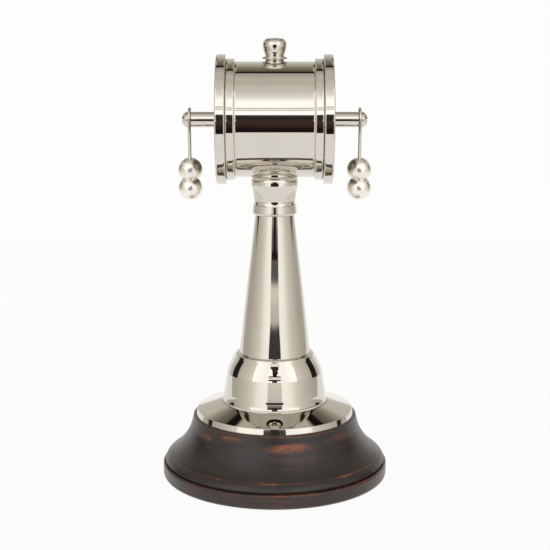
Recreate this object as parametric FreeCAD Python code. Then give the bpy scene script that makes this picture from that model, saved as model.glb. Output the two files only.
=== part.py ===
import FreeCAD, Part
import math
import os

from FreeCAD import Vector

# Desk binnacle compass on a turned pedestal: a horizontal drum with a glazed dial at each end,
# carried by a tapered column on a wooden base, with a hanging lever outside each dial.
# Millimetres, +Z up, +X along the drum. The origin is the centre of the face it stands on.

# ---- driving dimensions ----
TOTAL_HEIGHT = 360.0

FELT_THICKNESS = 1.2
FELT_RADIUS = 86.0
FELT_PROUD = 0.4

DISC_TOP = 12.5
DISC_RADIUS = 93.4
DISC_BOTTOM_ROUNDING = 2.8
DISC_TOP_ROUNDING = 1.5
GROOVE_TOP = 14.0
GROOVE_RADIUS = 89.6
MOULDING_NOSE_RADIUS = 91.5
NOSE_MIDDLE = (90.3, 17.0)
COVE_FOOT = (87.6, 19.5)
COVE_MIDDLE = (77.2, 29.4)
COVE_HEAD = (70.2, 41.6)
BROW_MIDDLE = (68.8, 46.6)
WOOD_TOP = 52.4
WOOD_TOP_RADIUS = 67.8
WOOD_TOP_ROUNDING = 1.2

FLANGE_RADIUS = 65.5
BAND_TOP = 57.0
BAND_TAPER = 1.1
BAND_ROUNDING = 0.4
FLANGE_BORE = 12.0
FLANGE_HOLLOW_RADIUS = 46.0
FLANGE_HOLLOW_DEPTH = 5.0
DOME_TOP_LEDGE = 0.6
SKIRT_BOTTOM = 63.6
SKIRT_RADIUS = 43.6
SKIRT_EDGE_TOP = 65.4
SKIRT_EDGE_ROUNDING = 0.5
SKIRT_FLARE_TOP = 72.0
SKIRT_FLARE_HOLLOW = 0.18
SKIRT_BREAK = 88.0
SKIRT_BREAK_RADIUS = 39.4
SKIRT_TAPER = 8.65
SKIRT_WALL = 2.4
SHOULDER_MIDDLE = (36.9, 95.4)
SHOULDER_HEAD = (33.2, 102.4)
SHOULDER_LIP = (32.3, 103.9)
SHOULDER_INSIDE = (34.2, 94.8)
COLUMN_BOTTOM = 104.8
COLUMN_BOTTOM_RADIUS = 29.3
COLUMN_TOP = 219.3
COLUMN_TOP_RADIUS = 16.1
COLUMN_WALL = 2.0
BEAD_TOP = 230.1
BEAD_RADIUS = 18.2
THROAT_RADIUS = 16.8
COLLAR_RADIUS = 19.2
COLLAR_RIM_LOW = 243.6
COLLAR_RIM_HIGH = 245.8
COLLAR_TOP = 253.4

DRUM_HEIGHT = 295.5
BARREL_RADIUS = 46.1
BARREL_WALL = 2.0
RING_INNER_X = 31.4
RING_OUTER_X = 38.4
RING_RADIUS = 48.4
RING_ROUNDING = 0.8
BARREL_END_X = 41.6
BEZEL_FACE_X = 46.4
BEZEL_RADIUS = 51.8
BEZEL_ROUNDING = 0.9
BEZEL_LIP_RADIUS = 41.5
BEZEL_LIP_SLOPE = 2.2
GASKET_INNER_RADIUS = 42.6
GASKET_THICKNESS = 0.8
GLASS_THICKNESS = 2.0
GLASS_HOLE_RADIUS = 7.0

SEAT_RING_X = 27.4
SEAT_RING_INNER_RADIUS = 38.6
PLATE_X = 30.4
PLATE_THICKNESS = 3.0
DIAL_THICKNESS = 1.0
DIAL_X = PLATE_X + PLATE_THICKNESS
DIAL_FACE_X = DIAL_X + DIAL_THICKNESS
DIAL_SCREW_CIRCLE = 41.2
DIAL_SCREW_RADIUS = 1.0
DIAL_SCREW_HEAD_RADIUS = 1.9
DIAL_SCREW_HEAD_HEIGHT = 1.1

SHAFT_RADIUS = 6.2
JOURNAL_RADIUS = 4.0
RUNNING_CLEARANCE = 0.05
SHAFT_INNER_X = 20.0
SHAFT_SHOULDER_X = 40.3
SHAFT_OUTER_X = 66.8
SPIGOT_RADIUS = 3.5
LEVER_SCREW_RADIUS = 2.0
LEVER_SCREW_DEPTH = 9.6
BUSH_RADIUS = 6.5
BUSH_FLANGE_RADIUS = 9.0
NOSE_RADIUS = 5.0
NOSE_END_X = 37.8
BUSH_FLANGE_THICKNESS = 2.0
SHAFT_COLLAR_RADIUS = 8.0
SHAFT_COLLAR_LENGTH = 5.0
SHAFT_COLLAR_PLAY = 0.2
GRUB_SCREW_RADIUS = 1.5

# the needle, which swings freely on the bush's nose, and its clip
NEEDLE_X = DIAL_FACE_X + 0.3
NEEDLE_HUB_THICKNESS = 2.0
NEEDLE_HUB_RADIUS = 7.6
NEEDLE_LENGTH = 33.0
NEEDLE_EYE_RADIUS = 9.2
NEEDLE_THICKNESS = 0.8
NEEDLE_INSET = 0.6
CLIP_GAP = 0.2
CLIP_WIDTH = 1.6
CLIP_THICKNESS = 0.6

POINTER_HUB_RADIUS = 6.6
POINTER_HUB_LENGTH = 2.0
POINTER_THICKNESS = 0.9
POINTER_LENGTH = 38.0
POINTER_HEAD_LENGTH = 7.0
POINTER_HEAD_HALF_WIDTH = 3.0
POINTER_TAIL = 16.0
POINTER_TAIL_RADIUS = 3.6

LEVER_THICKNESS = 2.6
LEVER_EDGE_ROUNDING = 1.2
LEVER_EYE_RADIUS = 9.8
LEVER_TIP_RADIUS = 4.5
LEVER_TIP_HEIGHT = 258.0
UPPER_BALL_HEIGHT = 255.4
UPPER_BALL_RADIUS = 9.8
GRIP_NECK_RADIUS = 6.5
LOWER_BALL_HEIGHT = 240.7
LOWER_BALL_RADIUS = 9.8
DOME_RADIUS = 6.4
DOME_HEIGHT = 5.4
DOME_SLOT_WIDTH = 1.4
DOME_SLOT_DEPTH = 1.5
DOME_RIM = 0.8

TIE_ROD_RADIUS = 4.0
TIE_ROD_HOLE_RADIUS = 4.2
NUT_COUNTERBORE_RADIUS = 14.0
NUT_COUNTERBORE_TOP = 10.0
TIE_ROD_LOW = 2.2
TIE_ROD_HIGH = 263.6
TIE_NUT_ACROSS_FLATS = 13.0
TIE_NUT_HEIGHT = 6.0
TIE_WASHER_RADIUS = 12.0
TIE_WASHER_THICKNESS = 1.6
SADDLE_RADIUS = 11.0
SADDLE_LOW = 248.0
SADDLE_TOP = 254.8
NUT_CHAMFER = 0.8
FINIAL_STUD_RADIUS = 3.0
FINIAL_FOOT_RADIUS = 8.2
FINIAL_NECK_RADIUS = 7.7
FINIAL_RING_RADIUS = 10.3
FINIAL_BALL_RADIUS = 9.8
FINIAL_RING_HEIGHT = 344.2
FINIAL_BALL_HEIGHT = 353.6
FINIAL_CROWN = (6.4, 359.3)
FINIAL_STUD_LOW = 331.0
FINIAL_STUD_HIGH = 352.6
FINIAL_NUT_LOW = 334.6
FINIAL_NUT_ACROSS_FLATS = 10.0

FLANGE_SCREW_CIRCLE = 57.2
FLANGE_SCREW_TILT = 17.0
FLANGE_SCREW_HEIGHT = 59.4
FLANGE_SCREW_HEAD_RADIUS = 5.4
FLANGE_SCREW_RECESS_RADIUS = 6.7
FLANGE_SCREW_SHANK_RADIUS = 2.4
FLANGE_SCREW_RECESS_DEPTH = 2.4
FLANGE_SCREW_HEAD_EDGE = 1.4
FLANGE_SCREW_LENGTH = 22.0
CROSS_RECESS_LENGTH = 6.4
CROSS_RECESS_WIDTH = 1.3
CROSS_RECESS_DEPTH = 1.5

ORIGIN = Vector(0, 0, 0)
X_AXIS = Vector(1, 0, 0)
Y_AXIS = Vector(0, 1, 0)
Z_AXIS = Vector(0, 0, 1)

os.makedirs("parts", exist_ok=True)


# ---- building blocks ----
def point(radius, height):
    return Vector(radius, 0, height)


def turned(start, *steps):
    """A solid of revolution about Z. Each step is an (r, z) end point of a straight line,
    or a pair of (r, z) points: one that an arc passes through, and its end."""
    edges = []
    here = start
    for step in steps + (start,):
        if isinstance(step[0], tuple):
            through, end = step
            edges.append(Part.Arc(point(*here), point(*through), point(*end)).toShape())
        else:
            end = step
            edges.append(Part.LineSegment(point(*here), point(*end)).toShape())
        here = end
    face = Part.Face(Part.Wire(edges))
    return face.revolve(ORIGIN, Z_AXIS, 360)


def tube(inner_radius, outer_radius, low, high):
    return turned((inner_radius, low), (outer_radius, low), (outer_radius, high), (inner_radius, high))


def cap(rim_radius, rim, top):
    """The arc of a spherical cap centred on the axis, from its rim up to its top."""
    rise = abs(top - rim)
    sphere = (rim_radius ** 2 + rise ** 2) / (2.0 * rise)
    half_angle = math.asin(rim_radius / sphere) / 2.0
    drop = sphere - sphere * math.cos(half_angle)
    return (sphere * math.sin(half_angle), top - math.copysign(drop, top - rim)), (0, top)


def rod(radius, low, high):
    return Part.makeCylinder(radius, high - low, Vector(0, 0, low), Z_AXIS)


def laid_along_x(shape):
    """Turn a shape made about Z onto the drum's axis: its +Z becomes +X."""
    laid = shape.copy()
    laid.rotate(ORIGIN, Y_AXIS, 90)
    laid.translate(Vector(0, 0, DRUM_HEIGHT))
    return laid


def hex_nut(across_flats, hole_radius, low, high):
    corner_radius = across_flats / math.sqrt(3.0)
    corners = [Vector(corner_radius * math.cos(math.radians(60 * i)),
                      corner_radius * math.sin(math.radians(60 * i)), low) for i in range(7)]
    prism = Part.Face(Part.makePolygon(corners)).extrude(Vector(0, 0, high - low))
    bevel_start = across_flats / 2.0
    chamfer = turned((0, low), (bevel_start, low), (corner_radius, low + NUT_CHAMFER),
                     (corner_radius, high - NUT_CHAMFER), (bevel_start, high), (0, high))
    return prism.common(chamfer).cut(rod(hole_radius, low, high))


def rounded_rim(radius, low, high, rounding):
    """The steps of a turned rim from its lower edge to its upper one, both rounded."""
    on_arc = rounding * (1.0 - math.sqrt(0.5))
    return (((radius - on_arc, low + on_arc), (radius, low + rounding)), (radius, high - rounding),
            ((radius - on_arc, high - on_arc), (radius - rounding, high)))


def drum_cylinder(radius):
    return laid_along_x(rod(radius, -80, 80))


# ---- pedestal ----
def make_felt_pad():
    return rod(FELT_RADIUS, 0, FELT_THICKNESS)


def make_base_disc():
    low = FELT_PROUD
    bottom, top = DISC_BOTTOM_ROUNDING, DISC_TOP_ROUNDING
    disc = turned((0, low), (DISC_RADIUS - bottom, low),
                  ((DISC_RADIUS - 0.3 * bottom, low + 0.3 * bottom), (DISC_RADIUS, low + bottom)),
                  (DISC_RADIUS, DISC_TOP - top),
                  ((DISC_RADIUS - 0.3 * top, DISC_TOP - 0.3 * top), (DISC_RADIUS - top, DISC_TOP)),
                  (0, DISC_TOP))
    disc = disc.cut(rod(FELT_RADIUS, low, FELT_THICKNESS))
    disc = disc.cut(rod(NUT_COUNTERBORE_RADIUS, low, NUT_COUNTERBORE_TOP))
    return disc.cut(rod(TIE_ROD_HOLE_RADIUS, low, DISC_TOP))


def make_base_moulding():
    """From the groove up: a rounded nose, a deep cove, a brow, and a rounded top edge."""
    nose, edge = MOULDING_NOSE_RADIUS, WOOD_TOP_ROUNDING
    moulding = turned((TIE_ROD_HOLE_RADIUS, DISC_TOP), (GROOVE_RADIUS, DISC_TOP),
                      (GROOVE_RADIUS, GROOVE_TOP), (nose - 0.6, GROOVE_TOP),
                      ((nose - 0.1, GROOVE_TOP + 0.2), (nose, GROOVE_TOP + 0.7)),
                      (NOSE_MIDDLE, COVE_FOOT), (COVE_MIDDLE, COVE_HEAD),
                      (BROW_MIDDLE, (WOOD_TOP_RADIUS, WOOD_TOP - edge)),
                      ((WOOD_TOP_RADIUS - 0.4 * edge, WOOD_TOP - 0.3 * edge),
                       (WOOD_TOP_RADIUS - edge, WOOD_TOP)),
                      (TIE_ROD_HOLE_RADIUS, WOOD_TOP))
    return moulding.cut(make_flange_screw_shanks())


def place_flange_screw(shape, azimuth):
    """Move a shape made about Z, with its zero at the dome's surface, to a flange screw's place."""
    placed = shape.copy()
    placed.rotate(ORIGIN, Y_AXIS, FLANGE_SCREW_TILT)
    placed.translate(Vector(FLANGE_SCREW_CIRCLE, 0, FLANGE_SCREW_HEIGHT))
    placed.rotate(ORIGIN, Z_AXIS, azimuth)
    return placed


def flange_screw_pair(shape):
    return Part.makeCompound([place_flange_screw(shape, azimuth) for azimuth in (-90, 90)])


def make_flange_screw_shanks():
    return flange_screw_pair(rod(FLANGE_SCREW_SHANK_RADIUS, -FLANGE_SCREW_LENGTH, -1.0))


def make_flange_screw():
    """A raised-head wood screw with a cross recess; zero is the dome's surface."""
    head, edge = FLANGE_SCREW_HEAD_RADIUS, FLANGE_SCREW_HEAD_EDGE
    shank, length, under = FLANGE_SCREW_SHANK_RADIUS, FLANGE_SCREW_LENGTH, FLANGE_SCREW_RECESS_DEPTH
    screw = turned((0, -length), (shank - 1.6, -length), (shank, -length + 4.0), (shank, -under),
                   (head - 0.3, -under), (head, -under + 0.3), (head, -edge), cap(head, -edge, 0))
    long, wide, deep = CROSS_RECESS_LENGTH, CROSS_RECESS_WIDTH, CROSS_RECESS_DEPTH
    blade = Part.makeBox(long, wide, 2 * deep, Vector(-long / 2, -wide / 2, -deep))
    recess = blade.copy()
    recess.rotate(ORIGIN, Z_AXIS, 90)
    screw = screw.cut(blade.fuse(recess))
    screw.rotate(ORIGIN, Z_AXIS, 45)
    return screw


def make_flange_screws():
    return flange_screw_pair(make_flange_screw())


def make_base_flange():
    """A bevelled band, and inside it a low cone that rises to the skirt."""
    hollow, depth, bore = FLANGE_HOLLOW_RADIUS, FLANGE_HOLLOW_DEPTH, FLANGE_BORE
    band, rounding = FLANGE_RADIUS - BAND_TAPER, BAND_ROUNDING
    flange = turned((bore, WOOD_TOP + depth + 2.0), (hollow, WOOD_TOP + depth), (hollow, WOOD_TOP),
                    (FLANGE_RADIUS, WOOD_TOP), (band, BAND_TOP - rounding),
                    ((band - 0.3 * rounding, BAND_TOP - 0.3 * rounding), (band - rounding, BAND_TOP)),
                    (SKIRT_RADIUS + DOME_TOP_LEDGE, SKIRT_BOTTOM), (bore, SKIRT_BOTTOM))
    recess = rod(FLANGE_SCREW_RECESS_RADIUS, -FLANGE_SCREW_RECESS_DEPTH, 4.0)
    hole = rod(FLANGE_SCREW_SHANK_RADIUS, -20.0, 0)
    return flange.cut(flange_screw_pair(recess.fuse(hole)))


def make_skirt():
    """A bell: a plain edge, a hollow flare, a straight taper, and a rounded shoulder with a ledge inside."""
    ledge = COLUMN_BOTTOM_RADIUS - 6.0
    radius, rounding, wall = SKIRT_RADIUS, SKIRT_EDGE_ROUNDING, SKIRT_WALL
    flare_top = SKIRT_BREAK_RADIUS + (SKIRT_BREAK - SKIRT_FLARE_TOP) * math.tan(math.radians(SKIRT_TAPER))
    flare_middle = ((flare_top + radius - rounding) / 2.0 - SKIRT_FLARE_HOLLOW,
                    (SKIRT_FLARE_TOP + SKIRT_EDGE_TOP) / 2.0)
    return turned((radius - wall, SKIRT_BOTTOM), (radius, SKIRT_BOTTOM), (radius, SKIRT_EDGE_TOP - rounding),
                  ((radius - 0.3 * rounding, SKIRT_EDGE_TOP - 0.3 * rounding),
                   (radius - rounding, SKIRT_EDGE_TOP)),
                  (flare_middle, (flare_top, SKIRT_FLARE_TOP)), (SKIRT_BREAK_RADIUS, SKIRT_BREAK),
                  (SHOULDER_MIDDLE, SHOULDER_HEAD),
                  (SHOULDER_LIP, (COLUMN_BOTTOM_RADIUS + 1.2, COLUMN_BOTTOM)),
                  (ledge, COLUMN_BOTTOM), (ledge, COLUMN_BOTTOM - 3.0),
                  (SHOULDER_INSIDE, (SKIRT_BREAK_RADIUS - wall, SKIRT_BREAK)),
                  (flare_top - wall, SKIRT_FLARE_TOP))


def make_column():
    return turned((COLUMN_BOTTOM_RADIUS - COLUMN_WALL, COLUMN_BOTTOM),
                  (COLUMN_BOTTOM_RADIUS, COLUMN_BOTTOM), (COLUMN_TOP_RADIUS, COLUMN_TOP),
                  (COLUMN_TOP_RADIUS - COLUMN_WALL, COLUMN_TOP))


def make_neck_bead():
    """A rounded lower edge, a slightly tapered side, and a hollow that sweeps up to the throat."""
    spigot = COLUMN_TOP_RADIUS - COLUMN_WALL
    spigot_foot = COLUMN_TOP - 5.0
    return turned((TIE_ROD_HOLE_RADIUS, spigot_foot), (spigot, spigot_foot), (spigot, COLUMN_TOP),
                  (BEAD_RADIUS - 1.1, COLUMN_TOP),
                  ((BEAD_RADIUS - 0.3, COLUMN_TOP + 0.7), (BEAD_RADIUS, COLUMN_TOP + 2.0)),
                  (BEAD_RADIUS - 0.42, BEAD_TOP - 3.3),
                  ((THROAT_RADIUS + 0.25, BEAD_TOP - 1.9), (THROAT_RADIUS, BEAD_TOP)),
                  (TIE_ROD_HOLE_RADIUS, BEAD_TOP))


def make_neck_collar():
    """It flares from the throat to a rounded rim, and its top is hollowed to the barrel."""
    rim_low, rim_high, top = COLLAR_RIM_LOW, COLLAR_RIM_HIGH, COLLAR_TOP
    collar = turned((TIE_ROD_HOLE_RADIUS, BEAD_TOP), (THROAT_RADIUS, BEAD_TOP),
                    ((THROAT_RADIUS + 0.06, BEAD_TOP + 1.0), (THROAT_RADIUS + 0.25, BEAD_TOP + 2.1)),
                    ((THROAT_RADIUS + 1.05, BEAD_TOP + 7.6), (COLLAR_RADIUS, rim_low)),
                    (COLLAR_RADIUS, rim_high),
                    ((COLLAR_RADIUS - 0.8, rim_high + 3.0), (COLLAR_RADIUS - 2.8, rim_high + 5.0)),
                    (COLLAR_RADIUS - 2.8, top), (TIE_ROD_HOLE_RADIUS, top))
    return collar.cut(drum_cylinder(BARREL_RADIUS))


def make_tie_rod():
    return rod(TIE_ROD_RADIUS, TIE_ROD_LOW, TIE_ROD_HIGH)


def make_tie_rod_washer_lower():
    return tube(TIE_ROD_HOLE_RADIUS, TIE_WASHER_RADIUS, NUT_COUNTERBORE_TOP - TIE_WASHER_THICKNESS,
                NUT_COUNTERBORE_TOP)


def make_tie_rod_nut_lower():
    top = NUT_COUNTERBORE_TOP - TIE_WASHER_THICKNESS
    return hex_nut(TIE_NUT_ACROSS_FLATS, TIE_ROD_RADIUS, top - TIE_NUT_HEIGHT, top)


def make_saddle_washer():
    """Fits the inside of the barrel below and gives the nut a flat seat above."""
    inside = drum_cylinder(BARREL_RADIUS - BARREL_WALL)
    return tube(TIE_ROD_HOLE_RADIUS, SADDLE_RADIUS, SADDLE_LOW, SADDLE_TOP).common(inside)


def make_tie_rod_nut_upper():
    return hex_nut(TIE_NUT_ACROSS_FLATS, TIE_ROD_RADIUS, SADDLE_TOP, SADDLE_TOP + TIE_NUT_HEIGHT)


# ---- drum ----
def make_drum_barrel():
    barrel = laid_along_x(tube(BARREL_RADIUS - BARREL_WALL, BARREL_RADIUS, -BARREL_END_X, BARREL_END_X))
    barrel = barrel.cut(rod(TIE_ROD_HOLE_RADIUS, 240, DRUM_HEIGHT))
    return barrel.cut(rod(FINIAL_STUD_RADIUS, DRUM_HEIGHT, TOTAL_HEIGHT))


def make_finial():
    """A foot on the barrel, a rounded ring, a short neck, and a flattened ball."""
    base = FINIAL_NUT_LOW
    foot, neck, ring, ball = FINIAL_FOOT_RADIUS, FINIAL_NECK_RADIUS, FINIAL_RING_RADIUS, FINIAL_BALL_RADIUS
    ring_middle, ball_middle = FINIAL_RING_HEIGHT, FINIAL_BALL_HEIGHT
    knob = turned((0, base), (foot, base), (foot, ring_middle - 2.3),
                  ((neck, ring_middle - 2.0), (neck - 0.3, ring_middle - 1.3)),
                  (ring - 0.7, ring_middle - 0.8),
                  ((ring, ring_middle), (ring - 0.7, ring_middle + 0.8)),
                  (neck, ring_middle + 1.3), (neck + 0.1, ring_middle + 2.6),
                  ((ball - 0.65, ball_middle - 3.2), (ball, ball_middle)),
                  ((ball - 0.9, ball_middle + 3.6), FINIAL_CROWN), cap(*FINIAL_CROWN, TOTAL_HEIGHT))
    knob = knob.cut(drum_cylinder(BARREL_RADIUS))
    return knob.cut(rod(FINIAL_STUD_RADIUS, base, FINIAL_STUD_HIGH + 0.4))


def make_finial_stud():
    return rod(FINIAL_STUD_RADIUS, FINIAL_STUD_LOW, FINIAL_STUD_HIGH)


def make_finial_nut():
    """A hexagon nut whose top face is hollowed to the inside of the barrel."""
    nut = hex_nut(FINIAL_NUT_ACROSS_FLATS, FINIAL_STUD_RADIUS, FINIAL_NUT_LOW, DRUM_HEIGHT + BARREL_RADIUS)
    return nut.common(drum_cylinder(BARREL_RADIUS - BARREL_WALL))


def make_end_ring():
    return turned((BARREL_RADIUS, RING_INNER_X), (RING_RADIUS - RING_ROUNDING, RING_INNER_X),
                  *rounded_rim(RING_RADIUS, RING_INNER_X, RING_OUTER_X, RING_ROUNDING),
                  (BARREL_RADIUS, RING_OUTER_X))


def make_bezel():
    """The screwed bezel: it closes over the barrel's end and clamps the glass under its lip."""
    glass_front = BARREL_END_X + GASKET_THICKNESS + GLASS_THICKNESS
    return turned((BARREL_RADIUS, RING_OUTER_X), (BEZEL_RADIUS - BEZEL_ROUNDING, RING_OUTER_X),
                  *rounded_rim(BEZEL_RADIUS, RING_OUTER_X, BEZEL_FACE_X, BEZEL_ROUNDING),
                  (BEZEL_LIP_RADIUS + BEZEL_LIP_SLOPE, BEZEL_FACE_X),
                  (BEZEL_LIP_RADIUS, glass_front + 0.9), (BEZEL_LIP_RADIUS, glass_front),
                  (BARREL_RADIUS, glass_front))


def make_gasket():
    return tube(GASKET_INNER_RADIUS, BARREL_RADIUS, BARREL_END_X, BARREL_END_X + GASKET_THICKNESS)


def make_glass():
    back = BARREL_END_X + GASKET_THICKNESS
    return tube(GLASS_HOLE_RADIUS, BARREL_RADIUS, back, back + GLASS_THICKNESS)


def dial_screw_places():
    """Angles round the drum's axis that keep clear of the tie rod below and the stud above."""
    return [(DIAL_SCREW_CIRCLE * math.cos(math.radians(angle)),
             DIAL_SCREW_CIRCLE * math.sin(math.radians(angle))) for angle in (90, 210, 330)]


def dial_screw_bores(low, high):
    bores = []
    for x, y in dial_screw_places():
        bores.append(Part.makeCylinder(DIAL_SCREW_RADIUS, high - low, Vector(x, y, low), Z_AXIS))
    return Part.makeCompound(bores)


def make_seat_ring():
    ring = tube(SEAT_RING_INNER_RADIUS, BARREL_RADIUS - BARREL_WALL, SEAT_RING_X, PLATE_X)
    return ring.cut(dial_screw_bores(SEAT_RING_X, PLATE_X))


def make_bearing_plate():
    plate = tube(BUSH_RADIUS, BARREL_RADIUS - BARREL_WALL, PLATE_X, DIAL_X)
    return plate.cut(dial_screw_bores(PLATE_X, DIAL_X))


def make_dial():
    dial = tube(BUSH_RADIUS, BARREL_RADIUS - BARREL_WALL - 0.2, DIAL_X, DIAL_FACE_X)
    return dial.cut(dial_screw_bores(DIAL_X, DIAL_FACE_X))


def make_dial_screws():
    shank_low, head = PLATE_X - 2.0, DIAL_SCREW_HEAD_RADIUS
    top = DIAL_FACE_X + DIAL_SCREW_HEAD_HEIGHT
    screws = []
    for x, y in dial_screw_places():
        screw = turned((0, shank_low), (DIAL_SCREW_RADIUS, shank_low), (DIAL_SCREW_RADIUS, DIAL_FACE_X),
                       (head, DIAL_FACE_X), cap(head, DIAL_FACE_X, top))
        screw = screw.cut(Part.makeBox(4 * head, 0.5, 1.0, Vector(-2 * head, -0.25, top - 0.5)))
        screw.translate(Vector(x, y, 0))
        screws.append(screw)
    return Part.makeCompound(screws)


def make_bush():
    bore, low = JOURNAL_RADIUS + RUNNING_CLEARANCE, PLATE_X - BUSH_FLANGE_THICKNESS
    return turned((bore, low), (BUSH_FLANGE_RADIUS, low), (BUSH_FLANGE_RADIUS, PLATE_X),
                  (BUSH_RADIUS, PLATE_X), (BUSH_RADIUS, DIAL_FACE_X), (NOSE_RADIUS, DIAL_FACE_X),
                  (NOSE_RADIUS, NOSE_END_X), (bore, NOSE_END_X))


# ---- needle ----
def make_needle_hub():
    return tube(NOSE_RADIUS + RUNNING_CLEARANCE, NEEDLE_HUB_RADIUS, NEEDLE_X,
                NEEDLE_X + NEEDLE_HUB_THICKNESS)


def make_needle():
    """A lozenge of thin steel with a hole for the hub, lying across the drum's axis."""
    low, high = NEEDLE_X + NEEDLE_INSET, NEEDLE_X + NEEDLE_INSET + NEEDLE_THICKNESS
    lozenge = [Vector(0, NEEDLE_LENGTH, low), Vector(NEEDLE_EYE_RADIUS, 0, low),
               Vector(0, -NEEDLE_LENGTH, low), Vector(-NEEDLE_EYE_RADIUS, 0, low)]
    blade = Part.Face(Part.makePolygon(lozenge + lozenge[:1])).extrude(Vector(0, 0, NEEDLE_THICKNESS))
    eye = rod(NEEDLE_EYE_RADIUS, low, high)
    return blade.fuse(eye).removeSplitter().cut(rod(NEEDLE_HUB_RADIUS, low - 1, high + 1))


def make_needle_clip():
    low = NEEDLE_X + NEEDLE_HUB_THICKNESS + CLIP_GAP
    return tube(NOSE_RADIUS, NOSE_RADIUS + CLIP_WIDTH, low, low + CLIP_THICKNESS)


# ---- lever and its shaft ----
def make_shaft():
    inner, shoulder = SHAFT_INNER_X, SHAFT_SHOULDER_X
    outer = SHAFT_OUTER_X + LEVER_THICKNESS
    shaft = turned((0, inner), (JOURNAL_RADIUS - 0.6, inner), (JOURNAL_RADIUS, inner + 0.6),
                   (JOURNAL_RADIUS, shoulder), (SHAFT_RADIUS, shoulder), (SHAFT_RADIUS, SHAFT_OUTER_X),
                   (SPIGOT_RADIUS, SHAFT_OUTER_X), (SPIGOT_RADIUS, outer), (0, outer))
    return shaft.cut(rod(LEVER_SCREW_RADIUS, outer - 10.0, outer))


def shaft_collar_top():
    return PLATE_X - BUSH_FLANGE_THICKNESS - SHAFT_COLLAR_PLAY


def make_shaft_collar():
    high = shaft_collar_top()
    middle = Vector(0, 0, high - SHAFT_COLLAR_LENGTH / 2.0)
    collar = tube(JOURNAL_RADIUS, SHAFT_COLLAR_RADIUS, high - SHAFT_COLLAR_LENGTH, high)
    return collar.cut(Part.makeCylinder(GRUB_SCREW_RADIUS, 2 * SHAFT_COLLAR_RADIUS, middle, X_AXIS))


def make_collar_grub_screw():
    height = shaft_collar_top() - SHAFT_COLLAR_LENGTH / 2.0
    reach, slot_depth = SHAFT_COLLAR_RADIUS + 0.4, 0.6
    foot = Vector(JOURNAL_RADIUS, 0, height)
    grub = Part.makeCylinder(GRUB_SCREW_RADIUS, reach - JOURNAL_RADIUS, foot, X_AXIS)
    grub = grub.cut(rod(JOURNAL_RADIUS, height - 3, height + 3))
    return grub.cut(Part.makeBox(slot_depth, 0.5, 4.0, Vector(reach - slot_depth, -0.25, height - 2.0)))


def make_pointer():
    """A hub on the shaft with a slender blade, an arrow head towards the rim and a short round tail."""
    low = SHAFT_SHOULDER_X - POINTER_HUB_LENGTH
    level = low + 0.5
    hub = rod(POINTER_HUB_RADIUS, low, SHAFT_SHOULDER_X)
    root, neck, tip = JOURNAL_RADIUS, POINTER_LENGTH - POINTER_HEAD_LENGTH, POINTER_LENGTH
    half = [(root, 2.0), (neck, 1.2), (neck, POINTER_HEAD_HALF_WIDTH), (tip, 0.0)]
    outline = [Vector(x, -y, level) for x, y in half] + [Vector(x, y, level) for x, y in half[2::-1]]
    blade = Part.Face(Part.makePolygon(outline + outline[:1])).extrude(Vector(0, 0, POINTER_THICKNESS))
    stem = Part.makeBox(POINTER_TAIL - root, 2.4, POINTER_THICKNESS, Vector(-POINTER_TAIL, -1.2, level))
    tail = Part.makeCylinder(POINTER_TAIL_RADIUS, POINTER_THICKNESS, Vector(-POINTER_TAIL, 0, level), Z_AXIS)
    pointer = hub.fuse([blade, stem, tail]).removeSplitter()
    return pointer.cut(rod(JOURNAL_RADIUS, low - 1, SHAFT_SHOULDER_X + 1))


def lever_outline():
    """The lever's side: a round eye that tapers straight to a rounded tip inside the grip."""
    drop = DRUM_HEIGHT - LEVER_TIP_HEIGHT
    lean = math.asin((LEVER_EYE_RADIUS - LEVER_TIP_RADIUS) / drop)
    across, along = math.cos(lean), math.sin(lean)

    def side(radius, height, sign):
        return Vector(0, sign * radius * across, height - radius * along)

    eye = DRUM_HEIGHT
    tip = LEVER_TIP_HEIGHT
    left_eye, right_eye = side(LEVER_EYE_RADIUS, eye, -1), side(LEVER_EYE_RADIUS, eye, 1)
    left_tip, right_tip = side(LEVER_TIP_RADIUS, tip, -1), side(LEVER_TIP_RADIUS, tip, 1)
    return Part.Wire([Part.Arc(left_eye, Vector(0, 0, eye + LEVER_EYE_RADIUS), right_eye).toShape(),
                      Part.LineSegment(right_eye, right_tip).toShape(),
                      Part.Arc(right_tip, Vector(0, 0, tip - LEVER_TIP_RADIUS), left_tip).toShape(),
                      Part.LineSegment(left_tip, left_eye).toShape()])


def make_lever():
    plate = Part.Face(lever_outline()).extrude(Vector(LEVER_THICKNESS, 0, 0))
    rims = [edge for edge in plate.Edges if edge.BoundBox.XLength < LEVER_THICKNESS / 2.0]
    plate = plate.makeFillet(LEVER_EDGE_ROUNDING, rims)
    plate.translate(Vector(SHAFT_OUTER_X, 0, 0))
    return plate.cut(laid_along_x(rod(SPIGOT_RADIUS, SHAFT_OUTER_X - 1, SHAFT_OUTER_X + LEVER_THICKNESS + 1)))


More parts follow.
